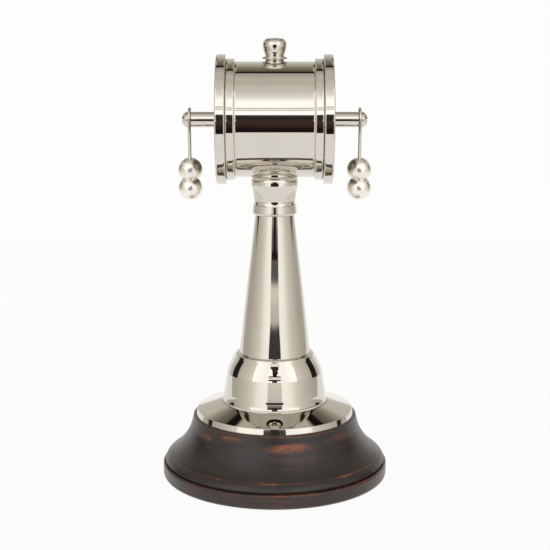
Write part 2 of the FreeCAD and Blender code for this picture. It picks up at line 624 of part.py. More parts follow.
def make_grip(lever):
    """Two balls on one neck, turned in one piece, with a slot that the lever's tip fills."""
    def on_ball(radius, height, degrees):
        angle = math.radians(degrees)
        return radius * math.cos(angle), height + radius * math.sin(angle)

    upper_reach = math.degrees(math.acos(GRIP_NECK_RADIUS / UPPER_BALL_RADIUS))
    lower_reach = math.degrees(math.acos(GRIP_NECK_RADIUS / LOWER_BALL_RADIUS))
    upper, lower = UPPER_BALL_HEIGHT, LOWER_BALL_HEIGHT
    balls = turned((0, lower - LOWER_BALL_RADIUS),
                   (on_ball(LOWER_BALL_RADIUS, lower, (lower_reach - 90) / 2),
                    on_ball(LOWER_BALL_RADIUS, lower, lower_reach)),
                   on_ball(UPPER_BALL_RADIUS, upper, -upper_reach),
                   (on_ball(UPPER_BALL_RADIUS, upper, (90 - upper_reach) / 2),
                    (0, upper + UPPER_BALL_RADIUS)))
    balls.translate(Vector(SHAFT_OUTER_X + LEVER_THICKNESS / 2.0, 0, 0))
    return balls.cut(lever)


def make_lever_screw():
    seat, shank = SHAFT_OUTER_X + LEVER_THICKNESS, LEVER_SCREW_RADIUS
    low, top = seat - LEVER_SCREW_DEPTH, seat + DOME_HEIGHT
    screw = turned((0, low), (shank, low), (shank, seat), (DOME_RADIUS, seat), (DOME_RADIUS, seat + DOME_RIM),
                   cap(DOME_RADIUS, seat + DOME_RIM, top))
    slot = Part.makeBox(DOME_SLOT_WIDTH, 4 * DOME_RADIUS, 2 * DOME_SLOT_DEPTH,
                        Vector(-DOME_SLOT_WIDTH / 2.0, -2 * DOME_RADIUS, top - DOME_SLOT_DEPTH))
    return screw.cut(slot)


# ---- assembly ----
def export(name, shape):
    solids = shape.Solids
    if not solids or not all(solid.isValid() for solid in solids):
        raise RuntimeError("bad solid in " + name)
    result = solids[0] if len(solids) == 1 else Part.makeCompound(solids)
    result.exportStep("parts/%s.step" % name)
    print("%-26s %2d solid(s) %10.1f mm3" % (name, len(solids), result.Volume))


PEDESTAL = {
    "felt_pad": make_felt_pad,
    "base_disc": make_base_disc,
    "base_moulding": make_base_moulding,
    "base_flange": make_base_flange,
    "flange_screws": make_flange_screws,
    "skirt": make_skirt,
    "column": make_column,
    "neck_bead": make_neck_bead,
    "neck_collar": make_neck_collar,
    "tie_rod": make_tie_rod,
    "tie_rod_washer_lower": make_tie_rod_washer_lower,
    "tie_rod_nut_lower": make_tie_rod_nut_lower,
    "saddle_washer": make_saddle_washer,
    "tie_rod_nut_upper": make_tie_rod_nut_upper,
    "drum_barrel": make_drum_barrel,
    "finial": make_finial,
    "finial_stud": make_finial_stud,
    "finial_nut": make_finial_nut,
}

# Made about Z and then laid along the drum's axis, once for each end.
END_PIECES = {
    "end_ring": make_end_ring,
    "bezel": make_bezel,
    "glass_gasket": make_gasket,
    "glass": make_glass,
    "dial_seat_ring": make_seat_ring,
    "bearing_plate": make_bearing_plate,
    "dial": make_dial,
    "dial_screws": make_dial_screws,
    "bush": make_bush,
    "needle_hub": make_needle_hub,
    "needle": make_needle,
    "needle_clip": make_needle_clip,
    "lever_shaft": make_shaft,
    "shaft_collar": make_shaft_collar,
    "collar_grub_screw": make_collar_grub_screw,
    "pointer": make_pointer,
    "lever_screw": make_lever_screw,
}

for node, maker in PEDESTAL.items():
    export(node, maker())

right_end = {node: laid_along_x(maker()) for node, maker in END_PIECES.items()}
right_end["lever"] = make_lever()
right_end["lever_grip"] = make_grip(right_end["lever"])

for node, shape in right_end.items():
    export(node + "_right", shape)
    opposite = shape.copy()
    opposite.rotate(ORIGIN, Z_AXIS, 180)
    export(node + "_left", opposite)
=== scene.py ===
import math

import bpy
from mathutils import Matrix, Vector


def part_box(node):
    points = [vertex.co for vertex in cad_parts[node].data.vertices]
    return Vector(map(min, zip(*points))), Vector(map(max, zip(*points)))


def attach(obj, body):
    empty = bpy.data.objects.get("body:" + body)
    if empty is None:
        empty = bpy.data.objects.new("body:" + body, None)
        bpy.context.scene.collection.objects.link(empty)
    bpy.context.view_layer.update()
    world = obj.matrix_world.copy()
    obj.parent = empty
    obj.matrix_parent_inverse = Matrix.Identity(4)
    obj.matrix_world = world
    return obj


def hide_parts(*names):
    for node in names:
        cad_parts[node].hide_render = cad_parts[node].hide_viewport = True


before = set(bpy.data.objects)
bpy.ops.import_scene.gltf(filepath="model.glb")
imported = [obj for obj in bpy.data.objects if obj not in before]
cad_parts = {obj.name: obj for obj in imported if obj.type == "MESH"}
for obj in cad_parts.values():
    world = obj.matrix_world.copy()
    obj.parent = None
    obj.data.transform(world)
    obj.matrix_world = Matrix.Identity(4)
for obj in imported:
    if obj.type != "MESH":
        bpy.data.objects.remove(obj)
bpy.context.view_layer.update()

MM = 0.001
RIGHT, LEFT = "right", "left"


def drum_axis_height():
    low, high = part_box("bezel_right")
    return (low.z + high.z) / 2.0


DRUM_AXIS_Z = drum_axis_height()

# ---- camera: millimetres for the lens, shares of the frame for the shifts, metres for the place ----
SENSOR_WIDTH = 36.0
LENS = 82.734545
SHIFT_UP = 0.01581818
SHIFT_RIGHT = 0.00054545
CAMERA_DISTANCE = 1.020
CAMERA_HEIGHT = 0.3597
CAMERA_PITCH = 11.0


def make_camera():
    data = bpy.data.cameras.new("camera")
    camera = bpy.data.objects.new("camera", data)
    bpy.context.scene.collection.objects.link(camera)
    data.sensor_width = SENSOR_WIDTH
    data.lens = LENS
    data.shift_y = SHIFT_UP
    data.shift_x = SHIFT_RIGHT
    data.clip_start = 0.01
    camera.location = (0.0, -CAMERA_DISTANCE, CAMERA_HEIGHT)
    camera.rotation_euler = (math.radians(90.0 - CAMERA_PITCH), 0.0, 0.0)
    bpy.context.scene.camera = camera


# ---- shader helpers ----
class Tree:
    """A short way to write node trees: every method adds one node or a few and returns the output."""

    def __init__(self, tree):
        self.tree = tree
        tree.nodes.clear()

    def node(self, kind, inputs=(), **settings):
        made = self.tree.nodes.new(kind)
        for key, value in settings.items():
            setattr(made, key, value)
        for key, value in dict(inputs).items():
            self.feed(made.inputs[key], value)
        return made

    def feed(self, socket, value):
        if isinstance(value, bpy.types.NodeSocket):
            self.tree.links.new(value, socket)
        elif isinstance(value, (tuple, list)) and len(value) == 3 and socket.type == "RGBA":
            socket.default_value = (*value, 1.0)
        else:
            socket.default_value = value

    def math(self, operation, a, b=0.0, c=0.0):
        return self.node("ShaderNodeMath", {0: a, 1: b, 2: c}, operation=operation).outputs[0]

    def joined(self, operation, values):
        """The values taken together, from the first to the last."""
        result = values[0]
        for value in values[1:]:
            result = self.math(operation, result, value)
        return result

    def add(self, *values):
        return self.joined("ADD", values)

    def times(self, *values):
        return self.joined("MULTIPLY", values)

    def most(self, *values):
        return self.joined("MAXIMUM", values)

    def minus(self, a, b):
        return self.math("SUBTRACT", a, b)

    def size_of(self, value):
        return self.math("ABSOLUTE", value)

    def scaled(self, value, factor, start):
        """The start plus the factor times the value."""
        return self.math("MULTIPLY_ADD", value, factor, start)

    def degrees(self, radians):
        return self.times(radians, 180.0 / math.pi)

    def step(self, value, low, high, to_low=0.0, to_high=1.0):
        """Smoothly from to_low to to_high as value goes from low to high."""
        made = self.node("ShaderNodeMapRange", {"Value": value, "From Min": low, "From Max": high,
                                                "To Min": to_low, "To Max": to_high},
                         interpolation_type="SMOOTHSTEP")
        return made.outputs["Result"]

    def step_linear(self, value, low, high):
        made = self.node("ShaderNodeMapRange", {"Value": value, "From Min": low, "From Max": high})
        return made.outputs["Result"]

    def window(self, value, low, high, soft):
        """1 between low and high and 0 outside, with soft edges."""
        risen, fallen = self.step(value, low - soft, low + soft), self.step(value, high + soft, high - soft)
        return self.times(risen, fallen)

    def mix(self, factor, a, b):
        made = self.node("ShaderNodeMix", data_type="RGBA")
        self.feed(made.inputs["Factor"], factor)
        self.feed(made.inputs["A"], a)
        self.feed(made.inputs["B"], b)
        return made.outputs["Result"]

    def ramp(self, value, stops, low, high):
        """Colours at places between low and high. A single number is a grey."""
        made = self.node("ShaderNodeValToRGB", {"Fac": self.step_linear(value, low, high)})
        elements = made.color_ramp.elements
        while len(elements) > 1:
            elements.remove(elements[-1])
        for index, (place, colour) in enumerate(stops):
            position = (place - low) / (high - low)
            element = elements[0] if index == 0 else elements.new(position)
            element.position = position
            shade = colour if isinstance(colour, tuple) else (colour, colour, colour)
            element.color = (*shade, 1.0)
        return made.outputs["Color"]

    def noise(self, vector, scale, detail=3.0, rough=0.5, distortion=0.0):
        made = self.node("ShaderNodeTexNoise", {"Vector": vector, "Scale": scale, "Detail": detail,
                                                "Roughness": rough, "Distortion": distortion})
        return made.outputs["Fac"]

    def place(self):
        return self.node("ShaderNodeTexCoord").outputs["Object"]

    def parts(self, vector):
        """The x, y and z of a vector."""
        return self.node("ShaderNodeSeparateXYZ", {0: vector}).outputs

    def stretched(self, vector, scale):
        made = self.node("ShaderNodeMapping", {"Vector": vector, "Scale": scale})
        return made.outputs["Vector"]

    def open_share(self, reach, low, high):
        """0 inside a corner or recess and 1 in the open, judged over a reach in millimetres."""
        made = self.node("ShaderNodeAmbientOcclusion", {"Distance": reach * MM}, samples=8)
        return self.step(made.outputs["AO"], low, high)

    def bump(self, height, distance, **more):
        made = self.node("ShaderNodeBump", {"Height": height, "Distance": distance, "Strength": 1.0, **more})
        return made.outputs["Normal"]

    def finish(self, shader, kind="ShaderNodeOutputMaterial"):
        output = self.node(kind)
        self.tree.links.new(shader, output.inputs["Surface"])

    def principled(self, **inputs):
        """The usual surface; an input's name is written with _ for its spaces."""
        shader = self.node("ShaderNodeBsdfPrincipled")
        for key, value in inputs.items():
            self.feed(shader.inputs[key.replace("_", " ")], value)
        self.finish(shader.outputs["BSDF"])


def new_material(name):
    material = bpy.data.materials.new(name)
    material.use_nodes = True
    return material, Tree(material.node_tree)


# ---- studio: it is seen only in reflections ----
# Colours by angle in degrees; a single number is a grey. The sides go by azimuth, 0 at the front and
# 180 at the back. The middle goes by the angle over the top, 0 at the front horizon, 90 straight up
# and 180 at the back horizon. The back wall goes by elevation.
LOW_SIDES = (
    (0, (1.24, 1.23, 1.22)), (26, (1.28, 1.26, 1.23)), (39, (1.18, 1.15, 1.10)),
    (48, (0.98, 0.94, 0.88)), (57, (0.84, 0.81, 0.74)), (68, (0.74, 0.71, 0.64)),
    (80, (0.66, 0.63, 0.57)), (96, (0.57, 0.54, 0.48)), (104, (0.53, 0.50, 0.45)),
    (122, (0.53, 0.51, 0.46)), (131, (0.62, 0.60, 0.56)), (143, (0.95, 0.94, 0.92)),
    (155, (1.05, 1.05, 1.04)), (180, 1.1),
)
HIGH_SIDES = (
    (0, 1.30), (26, (1.36, 1.36, 1.35)), (54, (1.55, 1.55, 1.52)),
    (57, (0.93, 0.90, 0.84)), (70, (0.80, 0.77, 0.70)), (80, (0.72, 0.69, 0.62)),
    (90, (0.66, 0.63, 0.57)), (97, (0.58, 0.55, 0.49)), (122, (0.53, 0.51, 0.46)),
    (131, (0.62, 0.60, 0.56)), (143, (0.95, 0.94, 0.92)), (180, 1.1),
)
SIDES_CHANGE = (5, 11)

# from the floor in front, over the dark gap between the panels, to the ceiling light and its slats
SLAT = (0.70, 0.67, 0.64)
FRONT = (
    (-90, 1.0), (-23.6, 1.0), (-21.6, (0.03, 0.022, 0.02)), (-18, (0.016, 0.012, 0.012)),
    (-14, (0.012, 0.008, 0.009)), (-10, (0.045, 0.026, 0.02)), (-6, (0.05, 0.028, 0.022)),
    (-1.5, (0.075, 0.045, 0.034)), (16.0, 1.58), (20.0, 1.6), (20.6, SLAT), (22.0, SLAT),
    (22.6, 1.4), (23.8, 1.4), (24.4, SLAT), (26.0, SLAT), (26.6, 1.5),
)
# the narrow light that shows between the panels, just above the horizon
GAP_PALE, GAP_DIM = (0.88, 0.84, 0.79), (0.40, 0.38, 0.36)
HORIZON = (
    (-4, (0.062, 0.036, 0.028)), (-2.4, (0.07, 0.042, 0.033)), (-1.6, (0.062, 0.055, 0.057)),
    (0.0, (0.062, 0.056, 0.058)), (0.4, (0.70, 0.67, 0.63)), (1.1, (0.72, 0.69, 0.65)),
    (1.5, GAP_PALE), (1.95, GAP_PALE), (2.25, (0.12, 0.115, 0.12)), (4.6, (0.145, 0.138, 0.145)),
    (4.9, GAP_DIM), (5.7, GAP_DIM), (6.1, (0.15, 0.14, 0.14)), (9.0, (0.10, 0.09, 0.09)),
    (12.0, (0.06, 0.055, 0.05)), (12.6, 1.55), (16, 1.58),
)
HORIZON_PLACE = (-3.9, 15.9, 0.05)
CEILING = (
    (30.3, 1.50), (37, (1.54, 1.53, 1.52)), (41, (1.37, 1.36, 1.35)), (47, (1.05, 1.05, 1.03)),
    (54, (0.92, 0.88, 0.86)), (60, (0.81, 0.77, 0.74)), (72, (0.74, 0.70, 0.66)),
    (79, (0.64, 0.60, 0.56)), (90, (0.66, 0.63, 0.56)), (102, (0.52, 0.49, 0.47)),
    (106, (0.45, 0.42, 0.4)), (107, (0.012, 0.008, 0.004)), (111, (0.02, 0.015, 0.01)),
    (113, (0.14, 0.12, 0.08)), (120, (0.22, 0.21, 0.16)), (127, (0.27, 0.25, 0.2)),
    (133, (0.44, 0.42, 0.37)), (145, (0.58, 0.56, 0.5)), (151, (0.66, 0.65, 0.61)),
    (180, (0.85, 0.85, 0.82)),
)
CEILING_START = (30.2, 30.4)
BACK_DARK = (0.01, 0.008, 0.006)
BACK_WALL = (
    (8, (0.66, 0.64, 0.58)), (28, (0.62, 0.60, 0.54)), (33, (0.37, 0.35, 0.30)),
    (38, (0.19, 0.175, 0.14)), (42, (0.12, 0.11, 0.085)), (43, BACK_DARK), (46.5, BACK_DARK),
    (48, (0.56, 0.53, 0.45)), (62, (0.62, 0.58, 0.50)),
)

# Places in the studio: from, to and softness, by azimuth and then by elevation.
SIDE_CARD, SIDE_CARD_COLOUR = ((101, 122, 0.8), (-1, 26, 0.8)), (0.02, 0.018, 0.016)
RIM, RIM_COLOUR = ((98, 126, 3.0), (53, 58, 0.6)), (0.03, 0.026, 0.02)
BACK_PLACE = ((128, 172, 2.0), (10, 64, 2.0))
# The middle band is the gap between the panels, wider below the horizon, all that is overhead, and
# the back above the low sides.
GAP_HALF_ANGLE, GAP_WIDER_BELOW, GAP_SOFT = 16.0, 3.5, 0.8
GAP_WIDENS = (0.2, -1.2)
OVERHEAD_FROM = (50, 62)
BEHIND_AZIMUTH, BEHIND_ELEVATION = (118, 128), (8, 12)
# The floor starts here at the front and higher at the sides, where it is warmer.
FLOOR_EDGE, FLOOR_RISE, FLOOR_TURN = (-24, -26), 13.0, (22, 50)
FLOOR_FRONT, FLOOR_SIDE = (1.0, 1.0, 1.0), (0.86, 0.83, 0.78)


def make_world():
    """A studio seen only in reflections: two white panels with a dark gap between them, a ceiling
    softbox with a dark rim, a beige-grey room with two dark cards at its sides, and a pale wall behind."""
    world = bpy.data.worlds.new("studio")
    bpy.context.scene.world = world
    world.use_nodes = True
    t = Tree(world.node_tree)
    x, y, z = t.parts(t.node("ShaderNodeTexCoord").outputs["Generated"])
    forward = t.times(y, -1.0)
    azimuth = t.degrees(t.size_of(t.math("ARCTAN2", x, forward)))
    elevation = t.degrees(t.math("ARCSINE", z))
    over = t.degrees(t.math("ARCTAN2", z, forward))

    def inside(place):
        by_azimuth, by_elevation = place
        return t.times(t.window(azimuth, *by_azimuth), t.window(elevation, *by_elevation))

    low, high = t.ramp(azimuth, LOW_SIDES, 0, 180), t.ramp(azimuth, HIGH_SIDES, 0, 180)
    sides = t.mix(t.step(elevation, *SIDES_CHANGE), low, high)
    sides = t.mix(inside(SIDE_CARD), sides, SIDE_CARD_COLOUR)

    front = t.ramp(over, FRONT, -90, 60)
    front = t.mix(t.window(over, *HORIZON_PLACE), front, t.ramp(over, HORIZON, -4, 16))
    middle = t.mix(t.step_linear(over, *CEILING_START), front, t.ramp(over, CEILING, 30, 180))
    half_gap = t.scaled(t.step(elevation, *GAP_WIDENS), GAP_WIDER_BELOW, GAP_HALF_ANGLE)
    gap = t.step(t.minus(azimuth, half_gap), GAP_SOFT, -GAP_SOFT)
    overhead = t.step(elevation, *OVERHEAD_FROM)
    behind = t.times(t.step(azimuth, *BEHIND_AZIMUTH), t.step(elevation, *BEHIND_ELEVATION))
    colour = t.mix(t.most(gap, overhead, behind), sides, middle)
    colour = t.mix(inside(BACK_PLACE), colour, t.ramp(elevation, BACK_WALL, 0, 90))
    colour = t.mix(inside(RIM), colour, RIM_COLOUR)

    rise = t.step(azimuth, *FLOOR_TURN, 0.0, FLOOR_RISE)
    below = t.step(t.minus(elevation, rise), *FLOOR_EDGE)
    colour = t.mix(below, colour, t.mix(t.step(azimuth, *FLOOR_TURN), FLOOR_FRONT, FLOOR_SIDE))
    background = t.node("ShaderNodeBackground", {"Color": colour, "Strength": 1.0})
    t.finish(background.outputs[0], "ShaderNodeOutputWorld")


# ---- stage ----
STUDIO_WHITE = 0.982
WHITE = (1.0, 1.0, 0.995)
TABLE = {"half_width": 0.62, "front": -0.77, "back": 1.2}
TABLE_SHADE = 0.05
TABLE_GREY = (0.06, 0.06, 0.06)
BACKDROP_RADIUS = 8.0
BOUNCED_RAYS = ("diffuse", "transmission", "shadow", "volume_scatter")


def mesh_object(name, vertices, faces, smooth=False):
    mesh = bpy.data.meshes.new(name)
    mesh.from_pydata(vertices, [], faces)
    mesh.polygons.foreach_set("use_smooth", [smooth] * len(mesh.polygons))
    mesh.update()
    made = bpy.data.objects.new(name, mesh)
    bpy.context.scene.collection.objects.link(made)
    return made


def unseen_by(made, rays):
    for kind in rays:
        setattr(made, "visible_" + kind, False)


def make_table():
    half, front, back = TABLE["half_width"], TABLE["front"], TABLE["back"]
    table = mesh_object("floor", [(-half, front, 0), (half, front, 0), (half, back, 0), (-half, back, 0)],
                        [(0, 1, 2, 3)])
    material, t = new_material("pale_floor")
    emission = t.node("ShaderNodeEmission", {"Color": WHITE, "Strength": STUDIO_WHITE - TABLE_SHADE})
    diffuse = t.node("ShaderNodeBsdfDiffuse", {"Color": TABLE_GREY})
    both = t.node("ShaderNodeAddShader", {0: emission.outputs[0], 1: diffuse.outputs[0]})
    t.finish(both.outputs[0])
    table.data.materials.append(material)


def make_backdrop():
    """A plain white surround that only the camera sees."""
    bpy.ops.mesh.primitive_uv_sphere_add(radius=BACKDROP_RADIUS, segments=48, ring_count=24)
    dome = bpy.context.active_object
    dome.name = "backdrop"
    material, t = new_material("pale_backdrop")
    t.finish(t.node("ShaderNodeEmission", {"Color": WHITE, "Strength": STUDIO_WHITE}).outputs[0])
    dome.data.materials.append(material)
    unseen_by(dome, ("glossy",) + BOUNCED_RAYS)


# Two dark cards that are seen only in reflections: a flag behind the camera that keeps the light
# between the panels off the drum, and the camera on its stand in front of the skirt. For each, in
# millimetres: its y, its outline as (x, z) corners, and its colours by height.
CARDS = {
    "flag_behind_camera": (
        -1500,
        ((-155, 275), (155, 275), (155, 500), (400, 500), (400, 592), (-400, 592), (-400, 500), (-155, 500)),
        ((275, (0.06, 0.045, 0.04)), (347, (0.045, 0.035, 0.033)), (451, (0.028, 0.024, 0.024)),
         (557, (0.055, 0.05, 0.05)), (590, (0.08, 0.075, 0.07))),
    ),
    "camera_figure": (
        -290,
        ((-72, 200), (72, 200), (72, 207), (24, 211), (30, 232), (48, 250), (34, 270), (54, 300),
         (60, 350), (-64, 350), (-56, 312), (-34, 288), (-26, 232), (-20, 211), (-72, 207)),
        ((203, (0.016, 0.012, 0.012)), (225, (0.012, 0.008, 0.008)), (246, (0.04, 0.022, 0.018)),
         (268, (0.055, 0.03, 0.024)), (288, (0.07, 0.04, 0.032)), (306, (0.045, 0.035, 0.033)),
         (327, (0.03, 0.025, 0.025)), (348, (0.055, 0.05, 0.05))),
    ),
}
CARD_HEIGHTS = (200, 600)


def make_cards():
    for name, (y, outline, colours) in CARDS.items():
        material, t = new_material(name)
        height = t.times(t.parts(t.place())[2], 1.0 / MM)
        colour = t.ramp(height, colours, *CARD_HEIGHTS)
        t.finish(t.node("ShaderNodeEmission", {"Color": colour, "Strength": 1.0}).outputs[0])
        corners = [(x * MM, y * MM, z * MM) for x, z in outline]
        card = mesh_object(name, corners, [tuple(range(len(outline)))])
        card.data.materials.append(material)
        unseen_by(card, ("camera",) + BOUNCED_RAYS)


# ---- materials ----
RING_STRETCH = 70.0


def turning_marks(t, along):
    """Faint rings left by polishing on a lathe; along is the axis the part was turned about."""
    stretch = (RING_STRETCH, 1.0, 1.0) if along == "X" else (1.0, 1.0, RING_STRETCH)
    return t.noise(t.stretched(t.place(), stretch), 32.0, 3.0, 0.55)


# in millimetres from the middle of the drum
STEP_EDGES = (31.4, 38.4, 46.4)
EDGE_REACH = 1.8
EDGE_DROP = 0.30


def polished_over_edges(t, normal):
    """The buffing wheel has rounded the drum's surfaces a little towards each step."""
    along = t.times(t.size_of(t.parts(t.place())[0]), 1.0 / MM)
    falls = []
    for edge in STEP_EDGES:
        share = t.math("DIVIDE", t.size_of(t.minus(along, edge)), EDGE_REACH)
        near = t.most(t.minus(1.0, share), 0.0)
        falls.append(t.times(near, near))
    return t.bump(t.minus(1.0, t.most(*falls)), EDGE_DROP * MM, Normal=normal)


NICKEL, OLD_NICKEL, CORNER_SHADE_AND_TARNISH = (0.705, 0.668, 0.60), (0.60, 0.55, 0.46), (0.075, 0.06, 0.04)
NICKEL_ROUGHNESS = 0.022
# painted light: the grips' nickel is made much lighter than the rest of the plate so that they look brighter
GRIP_NICKEL_PAINTED_LIGHTER, GRIP_ROUGHNESS = (0.93, 0.885, 0.81), 0.27
# how far, in mm, painted shade and tarnish reach into the flange's corners and screw recesses
FLANGE_SHADE_AND_TARNISH_REACH = 4.5


def nickel_material(name, along="Z", light=NICKEL, roughness=NICKEL_ROUGHNESS, corners=0.0):
    """Polished nickel plate, a little uneven, with faint turning marks and a trace of handling.
    corners is how far, in mm, painted shade together with old polish and tarnish darkens the plate inside
    its corners."""
    material, t = new_material(name)
    cloud = t.noise(t.place(), 55.0, 4.0, 0.6)
    smudge = t.step(t.noise(t.place(), 24.0, 5.0, 0.65, 0.6), 0.52, 0.72)
    rings = turning_marks(t, along)
    rough = t.scaled(cloud, 0.02, roughness - 0.01)
    rough = t.scaled(smudge, 0.03, rough)
    rough = t.scaled(rings, 0.012, rough)
    colour = t.mix(t.step_linear(cloud, 0.3, 0.75), light, [0.94 * part for part in light])
    colour = t.mix(t.times(smudge, 0.25), colour, OLD_NICKEL)
    if corners > 0.0:
        # painted shade: darker inside corners and recesses, judged by ambient occlusion, with old polish and
        # tarnish there too
        colour = t.mix(t.open_share(corners, 0.40, 0.80), CORNER_SHADE_AND_TARNISH, colour)
    swell = t.noise(t.place(), 26.0, 1.0)
    normal = t.bump(t.scaled(rings, 0.05, swell), 0.02 * MM)
    if along == "X":
        normal = polished_over_edges(t, normal)
    t.principled(Base_Color=colour, Metallic=1.0, Roughness=rough, Normal=normal)
    return material


# Where the stain is rubbed through. Each patch: its angle round the base and half its width, in
# degrees, its height and half its height, in millimetres, and its strength.
WOOD_PATCHES = (
    (9.0, 17.0, 42.5, 3.6, 1.0), (-30.0, 9.0, 47.0, 2.4, 0.6), (-53.0, 7.0, 43.5, 3.4, 0.75),
    (47.0, 11.0, 45.0, 2.2, 0.55), (16.0, 22.0, 34.0, 2.6, 0.35), (150.0, 26.0, 40.0, 5.0, 0.8),
    (-140.0, 16.0, 33.0, 4.0, 0.6),
)
# Each worn edge: its height and half its height, in millimetres, and its strength. The first, at the foot of
# the cove, is also a painted highlight along the moulding's nose.
WOOD_WEAR_AND_HIGHLIGHT_EDGES = ((19.6, 1.1, 1.0), (51.6, 2.2, 0.7), (12.0, 1.0, 0.7))
STAIN, STAIN_PORE = (0.0075, 0.0055, 0.0052), (0.020, 0.0125, 0.0105)
WORN_STAIN, BARE_WOOD = (0.070, 0.024, 0.0125), (0.235, 0.072, 0.026)
PLATE_WORN = 0.08


def wood_material(name, worn):
    """Turned hardwood, stained nearly black, rubbed through to red-brown along its edges and in streaks; the
    line along the foot of the cove is partly a painted highlight.
    worn raises the share that is rubbed through."""
    material, t = new_material(name)
    place = t.place()
    x, y, z = t.parts(place)
    height = t.times(z, 1.0 / MM)
    around = t.degrees(t.math("ARCTAN2", x, t.times(y, -1.0)))
    streak = t.noise(t.stretched(place, (1.0, 1.0, 6.5)), 34.0, 7.0, 0.68, 0.35)
    fleck = t.noise(t.stretched(place, (1.0, 1.0, 3.0)), 330.0, 4.0, 0.7)
    pore = t.noise(t.stretched(place, (1.0, 1.0, 9.0)), 520.0, 3.0, 0.6)
    cloud = t.noise(place, 21.0, 3.0, 0.5)

    patches = []
    for angle, half_angle, middle, half_height, strength in WOOD_PATCHES:
        across = t.math("DIVIDE", t.minus(around, angle), half_angle)
        up = t.math("DIVIDE", t.minus(height, middle), half_height)
        distance = t.add(t.times(across, across), t.times(up, up))
        patches.append(t.times(t.step(distance, 1.9, 0.0), strength))
    edges = []
    # worn edges; the one at the foot of the cove is partly a painted highlight
    for middle, half, strength in WOOD_WEAR_AND_HIGHLIGHT_EDGES:
        edges.append(t.times(t.step(t.size_of(t.minus(height, middle)), half, 0.0), strength))
    edge = t.times(t.most(*edges), t.step(cloud, 0.26, 0.5))
    rubbed = t.add(t.times(streak, 0.82), t.times(fleck, 0.43), t.times(t.most(*patches), 0.34),
                   t.times(edge, 0.27), worn)
    faint = t.step(rubbed, 0.60, 0.86)
    strong = t.step(rubbed, 0.84, 1.04)
    colour = t.mix(t.times(faint, 0.75), t.mix(pore, STAIN, STAIN_PORE), WORN_STAIN)
    colour = t.mix(strong, colour, BARE_WOOD)
    rough = t.scaled(strong, 0.15, t.scaled(streak, 0.22, 0.25))
    relief = t.add(t.times(pore, 0.5), t.times(fleck, 0.5))
    t.principled(Base_Color=colour, Roughness=rough, Normal=t.bump(relief, 0.07 * MM), Coat_Weight=0.12,
                 Coat_Roughness=0.22, IOR=1.5)
    return material


def brass_material():
    material, t = new_material("turned_brass")
    marks = turning_marks(t, "X")
    colour = t.mix(t.noise(t.place(), 90.0, 4.0), (0.80, 0.60, 0.29), (0.66, 0.46, 0.20))
    t.principled(Base_Color=colour, Metallic=1.0, Roughness=t.scaled(marks, 0.16, 0.14),
                 Normal=t.bump(marks, 0.01 * MM))
    return material


def steel_material(name, light, dark, roughness, corners=0.0):
    """Plain steel; corners is how far, in mm, dirt and painted shade darken it inside its corners."""
    material, t = new_material(name)
    grain = t.noise(t.stretched(t.place(), (1.0, 1.0, 6.0)), 400.0, 4.0)
    colour = t.mix(t.noise(t.place(), 120.0, 3.0), light, dark)
    if corners > 0.0:
        # painted shade with dirt: darker inside corners and recesses such as the screws' slots, judged by
        # ambient occlusion
        colour = t.mix(t.open_share(corners, 0.35, 0.85), (0.05, 0.04, 0.03), colour)
    t.principled(Base_Color=colour, Metallic=1.0, Roughness=t.scaled(grain, 0.18, roughness),
                 Normal=t.bump(grain, 0.01 * MM))
    return material


def rubber_material():
    material, t = new_material("black_rubber")
    grain = t.noise(t.place(), 1500.0, 3.0)
    colour = t.mix(grain, (0.012, 0.012, 0.012), (0.035, 0.034, 0.033))
    t.principled(Base_Color=colour, Roughness=t.scaled(grain, 0.2, 0.6), Normal=t.bump(grain, 0.04 * MM))
    return material


def glass_material():
    """Flat glass: clear, with reflections that grow at a slant and the faintest green tint and dust."""
    material, t = new_material("clear_glass")
    dust = t.step(t.noise(t.place(), 900.0, 4.0, 0.7), 0.66, 0.8)
    tint = t.mix(dust, (0.975, 0.99, 0.98), (0.90, 0.91, 0.90))
    through = t.node("ShaderNodeBsdfTransparent", {"Color": tint})
    mirror = t.node("ShaderNodeBsdfGlossy", {"Color": (1.0, 1.0, 1.0), "Roughness": 0.01})
    fresnel = t.node("ShaderNodeFresnel", {"IOR": 1.45})
    both = t.node("ShaderNodeMixShader", {0: fresnel.outputs[0], 1: through.outputs[0],
                                          2: mirror.outputs[0]})
    t.finish(both.outputs[0])
    return material


def ivory_material():
    """Old ivory enamel: clouded, finely crazed, darker towards the rim."""
    material, t = new_material("ivory_enamel")
    place = t.place()
    y, z = t.parts(place)[1:]
    cloud = t.noise(place, 70.0, 5.0, 0.6)
    cracks = t.node("ShaderNodeTexVoronoi", {"Vector": place, "Scale": 420.0}, feature="DISTANCE_TO_EDGE")
    crack = t.step(cracks.outputs["Distance"], 0.035, 0.0)
    up = t.minus(z, DRUM_AXIS_Z)
    radius = t.math("SQRT", t.add(t.times(up, up), t.times(y, y)))
    aged = t.step(radius, 0.030, 0.044)
    colour = t.mix(cloud, (0.80, 0.74, 0.60), (0.70, 0.62, 0.46))
    colour = t.mix(t.times(aged, 0.45), colour, (0.52, 0.42, 0.26))
    colour = t.mix(t.times(crack, 0.18), colour, (0.36, 0.27, 0.16))
    t.principled(Base_Color=colour, Roughness=t.scaled(cloud, 0.15, 0.28), Normal=t.bump(cloud, 0.02 * MM),
                 Coat_Weight=0.3, Coat_Roughness=0.1)
    return material


def ink_material(name, light, dark):
    """Printing ink or enamel, slightly uneven."""
    material, t = new_material(name)
    cloud = t.noise(t.place(), 800.0, 4.0, 0.6)
    t.principled(Base_Color=t.mix(cloud, light, dark), Roughness=t.scaled(cloud, 0.2, 0.35),
                 Normal=t.bump(cloud, 0.01 * MM))
    return material


def gilt_material():
    material, t = new_material("gilt")
    cloud = t.noise(t.place(), 500.0, 4.0, 0.6)
    colour = t.mix(cloud, (0.83, 0.62, 0.26), (0.62, 0.42, 0.15))
    t.principled(Base_Color=colour, Metallic=1.0, Roughness=t.scaled(cloud, 0.2, 0.25))
    return material


LACQUER_STARTS = (0.0095, 0.0099)


